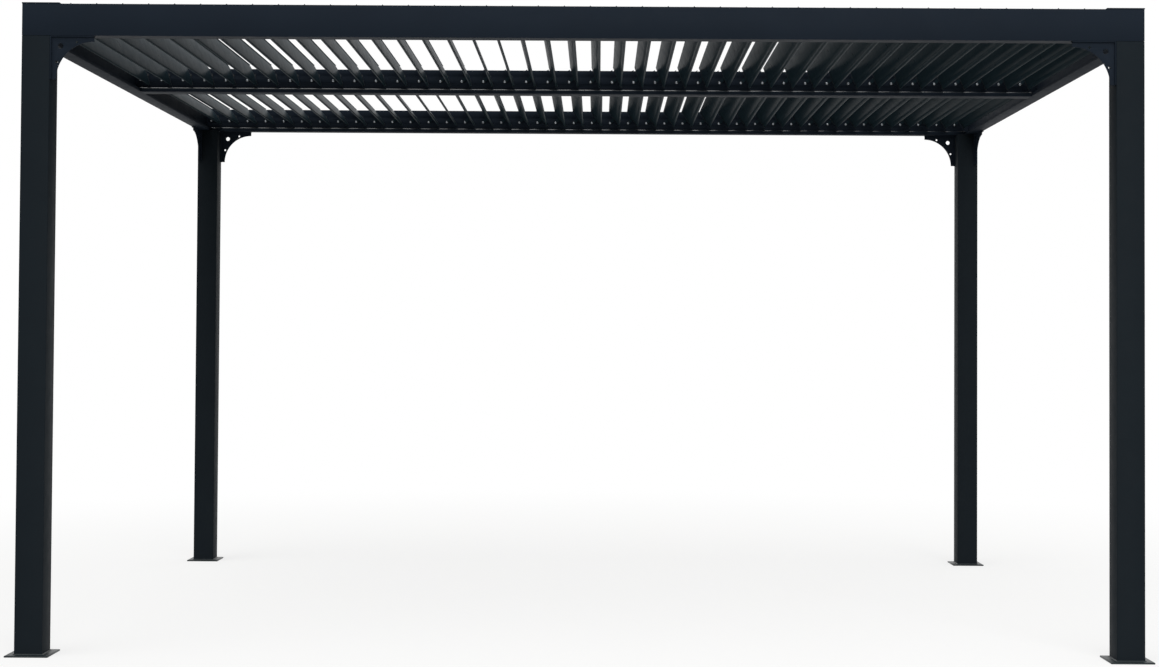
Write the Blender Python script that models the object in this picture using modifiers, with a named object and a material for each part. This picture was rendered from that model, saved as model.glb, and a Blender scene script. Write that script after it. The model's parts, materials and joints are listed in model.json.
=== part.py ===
"""Free-standing aluminium pergola with two bays of tilting louvre blades.

Run with: blender --background --python part.py
Metres, +Z up. The posts stand on Z = 0 and the plan is centred on the origin,
with X along the long front beam and the front at -Y.
"""

import math

import bmesh
import bpy
from mathutils import Matrix, Vector

# Overall frame
FRAME_WIDTH = 4.000  # outside to outside along X
FRAME_DEPTH = 3.000  # outside to outside along Y
SEAT_GAP = 0.0003  # between two pieces that are bolted face to face

# Beams
BEAM_UNDERSIDE = 2.205
BEAM_HEIGHT = 0.114
BEAM_BOX = 0.032  # width of the beam's closed box
GUTTER_WIDTH = 0.028  # width of the rain channel beside the box
GUTTER_LIP = 0.015  # height of the channel's lip over the beam's underside
GUTTER_WALL = 0.003
CENTRE_BOX = 0.024
CENTRE_HEIGHT = 0.105

# Posts
POST_SIDE = 0.100
PLATE_SIDE = 0.155
PLATE_THICKNESS = 0.006
CAP_LEG = 0.133  # corner cap's length along each beam
CAP_THICKNESS = 0.004
CAP_OVERHANG = 0.001
CAP_NECK_INSET = 0.002  # neck under a cap, in from the beam's faces
MITRE_DEG = 45.0

# Corner brackets
BRACKET_ARM = 0.156
BRACKET_TAB = 0.024
BRACKET_WEB = 0.005
BRACKET_FLANGE = 0.020
BRACKET_FLANGE_THICKNESS = 0.004
BRACKET_INSET = 0.001  # flange edge behind the outer face of post and beam
BRACKET_ARC_STEPS = 8
BRACKET_BIG_HOLE = 0.0115  # radius
BRACKET_BIG_HOLE_OUT = 0.038
BRACKET_BIG_HOLE_DOWN = 0.036
BRACKET_SMALL_HOLE = 0.006  # radius
BRACKET_SMALL_HOLE_OUT = 0.094
BRACKET_SMALL_HOLE_DOWN = 0.026
BIG_HOLE_SIDES = 8
SMALL_HOLE_SIDES = 6

# Louvre blades
LOUVER_COUNT = 42
ROW_LEFT_ROOM = 0.08225  # left beam's outer face to the first pivot
ROW_RIGHT_ROOM = 0.0863  # last pivot to the right beam's outer face
PIVOT_RISE = 0.076  # pivot line over the beams' underside
BLADE_CHORD = 0.0922
BLADE_CROWN = 0.0096  # thickness over the pivot line
BLADE_NOSE = 0.0096  # thickness of the lowered edge
BLADE_HEAD = 0.0069  # thickness of the raised edge with its rain lip
BLADE_SHOULDER = 0.026  # where the crown turns down, from the pivot line
BLADE_SHOULDER_RISE = 0.0040
BLADE_LIP = 0.0024  # rain lip on the upper face, along the raised edge
BLADE_LIP_WIDTH = 0.003
BLADE_END_GAP = 0.025  # blade's end to the wall of the beam
END_TAB_REACH = 0.0084  # tab of the front end cap, beyond the raised edge
END_TAB_THICKNESS = 0.003
FRONT_TILT_DEG = 69.2  # front blades' slope from level, as photographed
REAR_TILT_DEG = 55.3  # rear blades' slope from level, as photographed

# Pivots and drive
PIN_RADIUS = 0.004
PIN_CLEARANCE = 0.0004
PIN_DEPTH = 0.012  # pin inside the beam's wall
PIN_SOCKET_DEPTH = 0.014
PIN_ROOT = 0.010  # pin inside the blade's end
PIN_SIDES = 6
ARM_THICKNESS = 0.003
ARM_WIDTH = 0.014
ARM_EDGE = 0.007  # arm's end beyond the drive bolt
ARM_CHAMFER = 0.004
ARM_ROOT = 0.001  # arm's bite into the blade's end
DRIVE_BOLT_LEFT = 0.0237  # from the pivot, at the photographed tilt
DRIVE_BOLT_DROP = 0.0245  # under the pivot, at the photographed tilt
DRIVE_BAR_HEIGHT = 0.016
DRIVE_BAR_THICKNESS = 0.004
DRIVE_BAR_CLEARANCE = 0.0003
DRIVE_BAR_END = 0.015  # bar's end beyond its last bolt

MERGE = 0.00001
CUT_OVERRUN = 0.002
MITRE_CUTTER = 0.200

HALF_WIDTH = FRAME_WIDTH / 2
HALF_DEPTH = FRAME_DEPTH / 2
FIRST_PIVOT_X = -HALF_WIDTH + ROW_LEFT_ROOM
LOUVER_PITCH = (FRAME_WIDTH - ROW_LEFT_ROOM - ROW_RIGHT_ROOM) / (LOUVER_COUNT - 1)
BEAM_TOP = BEAM_UNDERSIDE + BEAM_HEIGHT
BEAM_OVERALL = BEAM_BOX + GUTTER_WIDTH
INNER_WALL_X = HALF_WIDTH - BEAM_BOX
INNER_WALL_Y = HALF_DEPTH - BEAM_BOX
CENTRE_WALL_Y = CENTRE_BOX / 2
PIVOT_Z = BEAM_UNDERSIDE + PIVOT_RISE
FRONT_TILT = math.radians(FRONT_TILT_DEG)
REAR_TILT = math.radians(REAR_TILT_DEG)
ALONG_X = Matrix(((0, 0, 1, 0), (1, 0, 0, 0), (0, 1, 0, 0), (0, 0, 0, 1)))
ALONG_Y = Matrix(((1, 0, 0, 0), (0, 0, 1, 0), (0, 1, 0, 0), (0, 0, 0, 1)))

PARTS = None
CUTTERS = None


def clear_scene():
    """Remove everything that the scene holds."""
    for item in list(bpy.data.objects):
        bpy.data.objects.remove(item, do_unlink=True)
    for group in list(bpy.data.collections):
        bpy.data.collections.remove(group)


def make_collections():
    """Make the collections for the parts and for what cuts them."""
    global PARTS, CUTTERS
    PARTS = bpy.data.collections.new("pergola")
    CUTTERS = bpy.data.collections.new("cutters")
    bpy.context.scene.collection.children.link(PARTS)
    bpy.context.scene.collection.children.link(CUTTERS)


def make_material(name, color, metallic, roughness):
    """Make a Principled material."""
    material = bpy.data.materials.new(name)
    material.use_nodes = True
    shader = material.node_tree.nodes["Principled BSDF"]
    shader.inputs["Base Color"].default_value = (*color, 1.0)
    shader.inputs["Metallic"].default_value = metallic
    shader.inputs["Roughness"].default_value = roughness
    return material


def mesh_of(item):
    """Give the mesh that an object has after its modifiers, in its own axes."""
    bpy.context.view_layer.update()
    graph = bpy.context.evaluated_depsgraph_get()
    mesh = bpy.data.meshes.new_from_object(item.evaluated_get(graph), depsgraph=graph)
    work = bmesh.new()
    work.from_mesh(mesh)
    bmesh.ops.remove_doubles(work, verts=work.verts, dist=MERGE)
    bmesh.ops.dissolve_degenerate(work, edges=work.edges, dist=MERGE)
    bmesh.ops.recalc_face_normals(work, faces=work.faces)
    work.to_mesh(mesh)
    work.free()
    return mesh


def add_object(name, mesh, group):
    """Put a mesh into the scene as an object."""
    item = bpy.data.objects.new(name, mesh)
    group.objects.link(item)
    if group is CUTTERS:
        item.hide_render = True
        item.display_type = "WIRE"
    return item


def extrude_outline(name, outline, length, holes=()):
    """Extrude a closed outline, with round holes, from Z = 0 to Z = length."""
    curve = bpy.data.curves.new(name, "CURVE")
    curve.dimensions = "2D"
    curve.fill_mode = "BOTH"
    curve.extrude = length / 2
    for points in (outline, *holes):
        spline = curve.splines.new("POLY")
        spline.points.add(len(points) - 1)
        for point, (x, y) in zip(spline.points, points):
            point.co = (x, y, 0.0, 1.0)
        spline.use_cyclic_u = True
    source = add_object(name + "_outline", curve, CUTTERS)
    mesh = mesh_of(source)
    bpy.data.objects.remove(source, do_unlink=True)
    mesh.transform(Matrix.Translation((0.0, 0.0, length / 2)))
    return mesh


def block(name, low, high):
    """Make a cutter or filler box between two corners."""
    mesh = bpy.data.meshes.new(name)
    work = bmesh.new()
    bmesh.ops.create_cube(work, size=1.0)
    size = Vector(high) - Vector(low)
    middle = (Vector(high) + Vector(low)) / 2
    bmesh.ops.transform(
        work, matrix=Matrix.Translation(middle) @ Matrix.Diagonal((*size, 1.0)), verts=work.verts
    )
    work.to_mesh(mesh)
    work.free()
    return add_object(name, mesh, CUTTERS)


def rod(name, radius, low_y, high_y, sides, x=0.0, z=0.0):
    """Make a rod along Y."""
    mesh = bpy.data.meshes.new(name)
    work = bmesh.new()
    bmesh.ops.create_cone(
        work,
        cap_ends=True,
        cap_tris=False,
        segments=sides,
        radius1=radius,
        radius2=radius,
        depth=high_y - low_y,
    )
    turn = Matrix.Rotation(math.radians(90), 4, "X")
    move = Matrix.Translation((x, (low_y + high_y) / 2, z))
    bmesh.ops.transform(work, matrix=move @ turn, verts=work.verts)
    work.to_mesh(mesh)
    work.free()
    return add_object(name, mesh, CUTTERS)


def combine(base, others, operation):
    """Join others to a mesh, or cut them out of it, and give the new mesh."""
    item = add_object("work", base, CUTTERS)
    for other in others:
        modifier = item.modifiers.new(operation.lower(), "BOOLEAN")
        modifier.operation = operation
        modifier.solver = "EXACT"
        modifier.object = other
    mesh = mesh_of(item)
    bpy.data.objects.remove(item, do_unlink=True)
    return mesh


def place(name, mesh, material, matrix=None, origin=(0.0, 0.0, 0.0)):
    """Put a finished mesh among the parts, with its origin at a given point."""
    if matrix is not None:
        mesh.transform(matrix)
        if matrix.determinant() < 0:
            mesh.flip_normals()
    mesh.transform(Matrix.Translation(-Vector(origin)))
    mesh.name = name
    mesh.materials.clear()
    mesh.materials.append(material)
    item = add_object(name, mesh, PARTS)
    item.location = origin
    return item


def circle(x, y, radius, sides):
    """Give the corners of a regular outline round a hole."""
    points = []
    for step in range(sides):
        angle = 2 * math.pi * (step + 0.5) / sides
        points.append((x + radius * math.cos(angle), y + radius * math.sin(angle)))
    return points


def pivot_x(number):
    """Give the X of a louvre's pivot, counted from 0 at the left."""
    return FIRST_PIVOT_X + LOUVER_PITCH * number


def beam_outline(box, height, gutters):
    """Give a beam's section: X across it from its outer face, Y up it.

    gutters is 1 for a beam with a channel on its inner side, and 2 for the
    centre beam, whose section runs from channel to channel.
    """
    lip = GUTTER_LIP
    wall = GUTTER_WALL
    inner = [
        (box + GUTTER_WIDTH, 0.0),
        (box + GUTTER_WIDTH, lip),
        (box + GUTTER_WIDTH - wall, lip),
        (box + GUTTER_WIDTH - wall, wall),
        (box, wall),
        (box, height),
    ]
    if gutters == 1:
        return [(0.0, 0.0), *inner, (0.0, height)]
    outer = [(box - x, y) for x, y in reversed(inner)]
    return [*inner, *outer]


def socket_rods(low_y, high_y):
    """Make the row of pivot sockets that is cut into a beam."""
    radius = (PIN_RADIUS + PIN_CLEARANCE) / math.cos(math.pi / PIN_SIDES)
    first = rod("sockets", radius, low_y, high_y, PIN_SIDES, pivot_x(0), PIVOT_Z)
    row = first.modifiers.new("row", "ARRAY")
    row.count = LOUVER_COUNT
    row.use_relative_offset = False
    row.use_constant_offset = True
    row.constant_offset_displace = (LOUVER_PITCH, 0.0, 0.0)
    return first


def outer_beam(name, length):
    """Make an outer beam along X, mitred for its neighbours: outer face on Y = 0, underside on 0."""
    mesh = extrude_outline(name, beam_outline(BEAM_BOX, BEAM_HEIGHT, 1), length)
    mesh.transform(Matrix.Translation((-length / 2, 0.0, 0.0)) @ ALONG_X)
    cutters = []
    for side in (-1, 1):
        cutter = block(
            "mitre",
            (0.0, -MITRE_CUTTER, -CUT_OVERRUN),
            (MITRE_CUTTER, MITRE_CUTTER, BEAM_HEIGHT + CUT_OVERRUN),
        )
        angle = math.radians(MITRE_DEG if side > 0 else 180 - MITRE_DEG)
        spot = (side * (length / 2 - SEAT_GAP), 0.0, 0.0)
        cutter.data.transform(Matrix.Translation(spot) @ Matrix.Rotation(angle, 4, "Z"))
        cutters.append(cutter)
    return combine(mesh, cutters, "DIFFERENCE")


def with_caps(mesh, length):
    """Add the two angled corner caps to a long beam, clear of the side beams' tops."""
    low = BEAM_HEIGHT + SEAT_GAP
    tip = length / 2 + CAP_OVERHANG
    outline = [
        (tip, -CAP_OVERHANG),
        (tip, CAP_LEG),
        (length / 2 - BEAM_BOX, CAP_LEG),
        (length / 2 - BEAM_BOX, BEAM_BOX),
        (length / 2 - CAP_LEG, BEAM_BOX),
        (length / 2 - CAP_LEG, -CAP_OVERHANG),
    ]
    fillers = []
    for side in (-1, 1):
        cap = extrude_outline("cap", [(side * x, y) for x, y in outline], CAP_THICKNESS)
        cap.transform(Matrix.Translation((0.0, 0.0, low)))
        bmesh_fix(cap)
        fillers.append(add_object("cap", cap, CUTTERS))
        ends = sorted((side * (length / 2 - BEAM_OVERALL), side * (length / 2 - CAP_LEG)))
        low_corner = (ends[0], CAP_NECK_INSET, BEAM_HEIGHT - CAP_NECK_INSET)
        high_corner = (ends[1], BEAM_BOX - CAP_NECK_INSET, low + CAP_THICKNESS / 2)
        fillers.append(block("cap_neck", low_corner, high_corner))
    return combine(mesh, fillers, "UNION")


def make_beams(material):
    """Make the four outer beams and the centre beam."""
    for name, side in (("front_beam", 1), ("rear_beam", -1)):
        mesh = with_caps(outer_beam(name, FRAME_WIDTH), FRAME_WIDTH)
        mesh.transform(Matrix.Translation((0.0, -HALF_DEPTH, BEAM_UNDERSIDE)))
        sockets = socket_rods(-INNER_WALL_Y - PIN_SOCKET_DEPTH, -INNER_WALL_Y + CUT_OVERRUN)
        mesh = combine(mesh, [sockets], "DIFFERENCE")
        place(name, mesh, material, Matrix.Diagonal((1.0, side, 1.0, 1.0)))
    swap = Matrix(((0, 1, 0, 0), (1, 0, 0, 0), (0, 0, 1, 0), (0, 0, 0, 1)))
    for name, side in (("left_beam", 1), ("right_beam", -1)):
        mesh = outer_beam(name, FRAME_DEPTH)
        spot = Matrix.Translation((-side * HALF_WIDTH, 0.0, BEAM_UNDERSIDE))
        place(name, mesh, material, spot @ Matrix.Diagonal((side, 1.0, 1.0, 1.0)) @ swap)
    centre_length = 2 * (INNER_WALL_X - SEAT_GAP)
    section = beam_outline(CENTRE_BOX, CENTRE_HEIGHT, 2)
    mesh = extrude_outline("centre_beam", section, centre_length)
    low = Matrix.Translation((-centre_length / 2, -CENTRE_WALL_Y, BEAM_UNDERSIDE))
    mesh.transform(low @ ALONG_X)
    cutters = [socket_rods(-CENTRE_WALL_Y - CUT_OVERRUN, CENTRE_WALL_Y + CUT_OVERRUN)]
    lip_x = HALF_WIDTH - BEAM_OVERALL - SEAT_GAP
    reach = CENTRE_WALL_Y + GUTTER_WIDTH + CUT_OVERRUN
    for side in (-1, 1):
        ends = sorted((side * lip_x, side * (INNER_WALL_X + CUT_OVERRUN)))
        low = (ends[0], -reach, BEAM_UNDERSIDE - CUT_OVERRUN)
        high = (ends[1], reach, BEAM_UNDERSIDE + GUTTER_LIP + SEAT_GAP)
        cutters.append(block("end_notch", low, high))
    mesh = combine(mesh, cutters, "DIFFERENCE")
    place("centre_beam", mesh, material)


def bmesh_fix(mesh):
    """Turn a mirrored mesh's faces outward again."""
    work = bmesh.new()
    work.from_mesh(mesh)
    bmesh.ops.recalc_face_normals(work, faces=work.faces)
    work.to_mesh(mesh)
    work.free()


def make_posts(material):
    """Make the four posts, each with its base plate."""
    half = POST_SIDE / 2
    plate = PLATE_SIDE / 2
    corners = (
        ("front_left_post", -1, -1),
        ("front_right_post", 1, -1),
        ("rear_left_post", -1, 1),
        ("rear_right_post", 1, 1),
    )
    for name, side_x, side_y in corners:
        shaft = block("shaft", (-half, -half, 0.0), (half, half, BEAM_UNDERSIDE - SEAT_GAP))
        foot = block("foot", (-plate, -plate, 0.0), (plate, plate, PLATE_THICKNESS))
        mesh = combine(shaft.data.copy(), [foot], "UNION")
        origin = (side_x * (HALF_WIDTH - half), side_y * (HALF_DEPTH - half), 0.0)
        place(name, mesh, material, Matrix.Translation(origin), origin)


def bracket_mesh():
    """Make one corner bracket: X out from the post, Y up, Z across it."""
    arm = BRACKET_ARM
    tab = BRACKET_TAB
    radius = arm - tab
    outline = [(0.0, 0.0), (0.0, -arm), (tab, -arm)]
    for step in range(1, BRACKET_ARC_STEPS):
        angle = math.pi / 2 * step / BRACKET_ARC_STEPS
        outline.append((arm - radius * math.cos(angle), -arm + radius * math.sin(angle)))
    outline += [(arm, -tab), (arm, 0.0)]
    out = BRACKET_SMALL_HOLE_OUT
    down = BRACKET_SMALL_HOLE_DOWN
    holes = (
        circle(BRACKET_BIG_HOLE_OUT, -BRACKET_BIG_HOLE_DOWN, BRACKET_BIG_HOLE, BIG_HOLE_SIDES),
        circle(out, -down, BRACKET_SMALL_HOLE, SMALL_HOLE_SIDES),
        circle(down, -out, BRACKET_SMALL_HOLE, SMALL_HOLE_SIDES),
    )
    web = extrude_outline("bracket", outline, BRACKET_WEB, holes)
    web.transform(Matrix.Translation((0.0, 0.0, -BRACKET_WEB / 2)))
    half = BRACKET_FLANGE / 2
    thick = BRACKET_FLANGE_THICKNESS
    flange = [(0.0, 0.0), (0.0, -arm), (thick, -arm), (thick, -thick), (arm, -thick), (arm, 0.0)]
    angle_plate = extrude_outline("flange", flange, BRACKET_FLANGE)
    angle_plate.transform(Matrix.Translation((0.0, 0.0, -half)))
    return combine(web, [add_object("flange", angle_plate, CUTTERS)], "UNION")


def make_brackets(material):
    """Put two brackets at each post: one under the long beam, one under the side beam."""
    shape = bracket_mesh()
    across = BRACKET_INSET + BRACKET_FLANGE / 2
    long_way = Matrix(((1, 0, 0, 0), (0, 0, 1, 0), (0, 1, 0, 0), (0, 0, 0, 1)))
    side_way = Matrix(((0, 0, 1, 0), (1, 0, 0, 0), (0, 1, 0, 0), (0, 0, 0, 1)))
    seat_z = BEAM_UNDERSIDE - SEAT_GAP
    inner_x = HALF_WIDTH - POST_SIDE - SEAT_GAP
    inner_y = HALF_DEPTH - POST_SIDE - SEAT_GAP
    for end, side_y in (("front", -1), ("rear", 1)):
        for hand, side_x in (("left", -1), ("right", 1)):
            mirror = Matrix.Diagonal((-side_x, -side_y, 1.0, 1.0))
            spot = (side_x * inner_x, side_y * (HALF_DEPTH - across), seat_z)
            name = f"{end}_{hand}_long_bracket"
            place(name, shape.copy(), material, Matrix.Translation(spot) @ mirror @ long_way, spot)
            spot = (side_x * (HALF_WIDTH - across), side_y * inner_y, seat_z)
            name = f"{end}_{hand}_side_bracket"
            place(name, shape.copy(), material, Matrix.Translation(spot) @ mirror @ side_way, spot)


def blade_outline():
    """Give a level blade's section: X along its chord, Y up, round the pivot."""
    half = BLADE_CHORD / 2
    crown = BLADE_CROWN / 2
    nose = BLADE_NOSE / 2
    head = BLADE_HEAD / 2
    upper = [
        (half, nose),
        (0.0, crown),
        (-BLADE_SHOULDER, BLADE_SHOULDER_RISE),
        (-half + BLADE_LIP_WIDTH, head - BLADE_LIP),
        (-half + BLADE_LIP_WIDTH, head),
        (-half, head),
    ]
    under = [
        (-half, -head),
        (0.0, -crown),
        (half, -nose),
    ]
    return upper + under


def arm_mesh(low_y):
    """Make a crank arm at its photographed angle, from the pivot to beyond the drive bolt."""
    half = ARM_WIDTH / 2
    reach = math.hypot(DRIVE_BOLT_LEFT, DRIVE_BOLT_DROP) + ARM_EDGE
    outline = [
        (0.0, -half),
        (reach - ARM_CHAMFER, -half),
        (reach, -half + ARM_CHAMFER),
        (reach, half - ARM_CHAMFER),
        (reach - ARM_CHAMFER, half),
        (0.0, half),
    ]
    mesh = extrude_outline("arm", outline, ARM_ROOT + ARM_THICKNESS)
    slope = math.atan2(DRIVE_BOLT_DROP, -DRIVE_BOLT_LEFT)
    turn = Matrix.Rotation(slope, 4, "Y")
    mesh.transform(Matrix.Translation((0.0, low_y, 0.0)) @ turn @ ALONG_Y)
    bmesh_fix(mesh)
    return mesh


def louver_mesh(tabbed):
    """Make one louvre round its own pivot line: two blades and their arms on one shaft.

    tabbed louvres have an end tab at their front end. The first has none,
    because it turns beside the left beam.
    """
    front = (-INNER_WALL_Y + BLADE_END_GAP, -CENTRE_WALL_Y - BLADE_END_GAP)
    rear = (CENTRE_WALL_Y + BLADE_END_GAP, INNER_WALL_Y - BLADE_END_GAP)
    blades = []
    for (low, high), tilt in ((front, FRONT_TILT), (rear, REAR_TILT)):
        mesh = extrude_outline("blade", blade_outline(), high - low)
        turn = Matrix.Rotation(tilt, 4, "Y")
        mesh.transform(Matrix.Translation((0.0, low, 0.0)) @ turn @ ALONG_Y)
        bmesh_fix(mesh)
        blades.append(mesh)
    reach = INNER_WALL_Y + PIN_DEPTH
    bite = PIN_ROOT
    fillers = [add_object("rear_blade", blades[1], CUTTERS)]
    fillers.append(rod("shaft", PIN_RADIUS, front[1] - bite, rear[0] + bite, PIN_SIDES))
    fillers.append(rod("front_pin", PIN_RADIUS, -reach, front[0] + bite, PIN_SIDES))
    fillers.append(rod("rear_pin", PIN_RADIUS, rear[1] - bite, reach, PIN_SIDES))
    for high in (front[1], rear[1]):
        fillers.append(add_object("arm", arm_mesh(high - ARM_ROOT), CUTTERS))
    if tabbed:
        half = BLADE_CHORD / 2
        tab = block(
            "end_tab",
            (-half - END_TAB_REACH, front[0], -END_TAB_THICKNESS / 2),
            (-half + END_TAB_THICKNESS, front[0] + END_TAB_THICKNESS, END_TAB_THICKNESS / 2),
        )
        tab.data.transform(Matrix.Rotation(FRONT_TILT, 4, "Y"))
        fillers.append(tab)
    return combine(blades[0], fillers, "UNION")


def make_louvers(material):
    """Put the louvres on their pivots at the photographed tilt."""
    plain = louver_mesh(False)
    tabbed = louver_mesh(True)
    for number in range(LOUVER_COUNT):
        spot = (pivot_x(number), 0.0, PIVOT_Z)
        name = f"louver_{number + 1:02d}"
        shape = plain if number == 0 else tabbed
        place(name, shape.copy(), material, Matrix.Translation(spot), spot)


def make_drive_bar(material):
    """Make the bar that ties the louvres' arms together, behind the front blades."""
    first = pivot_x(0) - DRIVE_BOLT_LEFT
    last = pivot_x(LOUVER_COUNT - 1) - DRIVE_BOLT_LEFT
    middle = PIVOT_Z - DRIVE_BOLT_DROP
    near = -CENTRE_WALL_Y - BLADE_END_GAP + ARM_THICKNESS + DRIVE_BAR_CLEARANCE
    low = (first - DRIVE_BAR_END, near, middle - DRIVE_BAR_HEIGHT / 2)
    high = (last + DRIVE_BAR_END, near + DRIVE_BAR_THICKNESS, middle + DRIVE_BAR_HEIGHT / 2)
    mesh = block("drive_bar_blank", low, high).data.copy()
    place("front_drive_bar", mesh, material, None, (first, near, middle))


def main():
    """Build the pergola."""
    clear_scene()
    make_collections()
    frame_paint = make_material("frame_paint", (0.020, 0.026, 0.032), 0.0, 0.5)
    blade_paint = make_material("blade_paint", (0.022, 0.028, 0.034), 0.0, 0.5)
    make_beams(frame_paint)
    make_posts(frame_paint)
    make_brackets(frame_paint)
    make_louvers(blade_paint)
    make_drive_bar(frame_paint)
    for item in list(CUTTERS.objects):
        bpy.data.objects.remove(item, do_unlink=True)


main()
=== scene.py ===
"""Aluminum pergola: the finished look of a free-standing louvred roof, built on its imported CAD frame."""

import json
import logging
import math
from collections.abc import Callable, Iterator
from contextlib import contextmanager
from dataclasses import dataclass
from enum import Enum

import bmesh
import bpy
from mathutils import Matrix, Vector


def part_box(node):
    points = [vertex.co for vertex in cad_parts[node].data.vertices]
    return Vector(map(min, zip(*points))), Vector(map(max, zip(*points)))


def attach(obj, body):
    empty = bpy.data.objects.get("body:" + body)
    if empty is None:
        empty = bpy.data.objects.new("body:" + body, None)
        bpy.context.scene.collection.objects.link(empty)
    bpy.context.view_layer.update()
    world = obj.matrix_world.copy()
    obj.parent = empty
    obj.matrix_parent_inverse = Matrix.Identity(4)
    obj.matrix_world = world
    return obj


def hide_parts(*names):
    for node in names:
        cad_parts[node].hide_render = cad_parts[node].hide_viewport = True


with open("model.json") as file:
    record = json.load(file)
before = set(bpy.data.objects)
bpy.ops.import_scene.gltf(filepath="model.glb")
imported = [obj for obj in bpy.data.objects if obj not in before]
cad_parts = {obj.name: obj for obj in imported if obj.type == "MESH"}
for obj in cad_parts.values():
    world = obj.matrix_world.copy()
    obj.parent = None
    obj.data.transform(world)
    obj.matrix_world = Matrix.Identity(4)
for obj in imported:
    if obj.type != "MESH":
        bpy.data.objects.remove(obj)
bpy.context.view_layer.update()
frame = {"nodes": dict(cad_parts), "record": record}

LOG = logging.getLogger("pergola")
MM = 0.001
SLACK = 0.01 * MM  # lengths that differ by less are the same
FACING = 0.9  # least cosine at which a face looks a given way
TURNED_SIDES = 12  # facets round small turned and moulded pieces
TURNED_DEG = 40.0  # shallower edges of turned, moulded and cast pieces are shaded smooth
PROFILE_DEG = 35.0  # shallower edges of rolled and extruded profiles are shaded smooth
CAD_GAP = 0.02 * MM  # corners of a CAD mesh that are nearer than this are one corner
CAD_BEND_DEG = 0.5  # faces of a CAD mesh that bend less than this are one face


class Body(str, Enum):
    """The moving groups of the pergola that are named here."""

    FRAME = "frame"
    DRIVE_BARS = "drive_bars"


class Slot(str, Enum):
    """The record's paint slots."""

    FRAME = "frame_paint"
    BLADE = "blade_paint"


class Pick(str, Enum):
    """What an edit works on."""

    CORNERS = "VERT"
    EDGES = "EDGE"
    FACES = "FACE"


# ---------------------------------------------------------------- finishes


def to_linear(colour: str) -> tuple[float, float, float, float]:
    """Turn an sRGB hex colour into linear RGBA.

    Args:
        colour: six hex digits after a hash.

    Returns:
        The colour as the shader takes it, with alpha 1.
    """
    # the standard sRGB curve
    parts = [int(colour[k : k + 2], 16) / 255 for k in (1, 3, 5)]
    curved = [p / 12.92 if p <= 0.04045 else ((p + 0.055) / 1.055) ** 2.4 for p in parts]
    return (curved[0], curved[1], curved[2], 1.0)


def add_node(
    tree: bpy.types.NodeTree,
    kind: str,
    settings: dict[str, object] | None = None,
    inputs: dict[str | int, object] | None = None,
) -> bpy.types.Node:
    """Add one node, set it up and feed its sockets.

    Args:
        tree: the node tree to add to.
        kind: Blender's name of the node type.
        settings: properties of the node.
        inputs: a value for each socket, or another node's output socket to link.

    Returns:
        The new node.
    """
    node = tree.nodes.new(kind)
    for key, value in (settings or {}).items():
        setattr(node, key, value)
    for key, value in (inputs or {}).items():
        if isinstance(value, bpy.types.NodeSocket):
            tree.links.new(value, node.inputs[key])
        else:
            node.inputs[key].default_value = value
    return node


def empty_material(name: str) -> tuple[bpy.types.Material, bpy.types.NodeTree]:
    """Start a node material with nothing in it."""
    material = bpy.data.materials.new(name)
    material.use_nodes = True
    material.node_tree.nodes.clear()
    return material, material.node_tree


def per_metre(size_mm: float) -> float:
    """Give the pattern scale whose features are size_mm apart."""
    return 1000.0 / size_mm


def noise(
    tree: bpy.types.NodeTree, size_mm: float, detail: float, roughness: float = 0.5
) -> bpy.types.NodeSocket:
    """Spread a noise pattern over a piece, fixed to its own coordinates.

    Args:
        tree: the node tree to add to.
        size_mm: how far apart its main features are.
        detail: how many finer layers lie over them.
        roughness: how strong those layers are.

    Returns:
        The pattern's level, from 0 to 1.
    """
    place = add_node(tree, "ShaderNodeTexCoord").outputs["Object"]
    pattern = add_node(
        tree,
        "ShaderNodeTexNoise",
        inputs={"Vector": place, "Scale": per_metre(size_mm), "Detail": detail, "Roughness": roughness},
    )
    return pattern.outputs["Fac"]


def spread(
    tree: bpy.types.NodeTree,
    level: bpy.types.NodeSocket,
    reach: tuple[float, float],
    ends: tuple[float, float] = (0.0, 1.0),
    curve: str = "LINEAR",
) -> bpy.types.NodeSocket:
    """Map a level to a range of values, held at both ends.

    Args:
        tree: the node tree to add to.
        level: what is mapped.
        reach: the values at both ends.
        ends: the levels at which they are reached.
        curve: Blender's name of the interpolation.

    Returns:
        The mapped value.
    """
    mapped = add_node(
        tree,
        "ShaderNodeMapRange",
        {"interpolation_type": curve},
        {
            "Value": level,
            "From Min": ends[0],
            "From Max": ends[1],
            "To Min": reach[0],
            "To Max": reach[1],
        },
    )
    return mapped.outputs["Result"]


def blend(
    tree: bpy.types.NodeTree, share: bpy.types.NodeSocket, low: str, high: str
) -> bpy.types.NodeSocket:
    """Blend two hex colours by a share from 0 to 1."""
    # a Mix node takes colours at sockets 6 and 7 and gives one at 2
    inputs = {0: share, 6: to_linear(low), 7: to_linear(high)}
    return add_node(tree, "ShaderNodeMix", {"data_type": "RGBA"}, inputs).outputs[2]


def bump(
    tree: bpy.types.NodeTree, height: bpy.types.NodeSocket, strength: float, distance: float
) -> bpy.types.NodeSocket:
    """Tilt a surface's normals as if a pattern stood up from it."""
    inputs = {"Height": height, "Strength": strength, "Distance": distance}
    return add_node(tree, "ShaderNodeBump", inputs=inputs).outputs["Normal"]


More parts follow.
